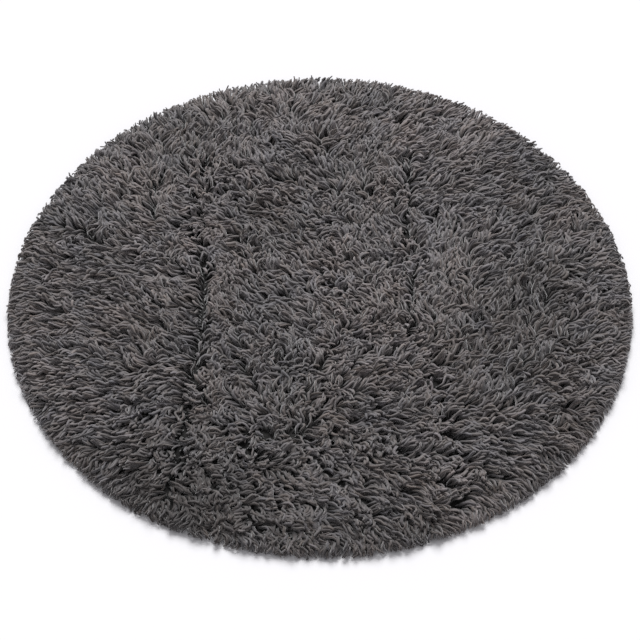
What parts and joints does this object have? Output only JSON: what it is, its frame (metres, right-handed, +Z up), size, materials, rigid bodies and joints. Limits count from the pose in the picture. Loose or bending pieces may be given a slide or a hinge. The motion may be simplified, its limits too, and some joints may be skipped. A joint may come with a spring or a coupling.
{
  "type": "shag rug",
  "caption": "Round wool shag rug lying flat: a thick pile of long wavy locks, creased where it parts, with locks flopping onto the floor all round its edge.",
  "frame": {"origin": "on the floor, at the middle of the flat underside", "axes": "+Z up out of the pile, +X to the right and -Y towards the viewer of the picture"},
  "size_m": [1.5934, 1.5978, 0.0469],
  "materials": {
    "pile_wool": "matt dark grey wool, softly spun, lighter along the tops of its locks and nearly black between them"
  },
  "bodies": {
    "root": {"shag_rug": "pile_wool"}
  },
  "joints": []
}
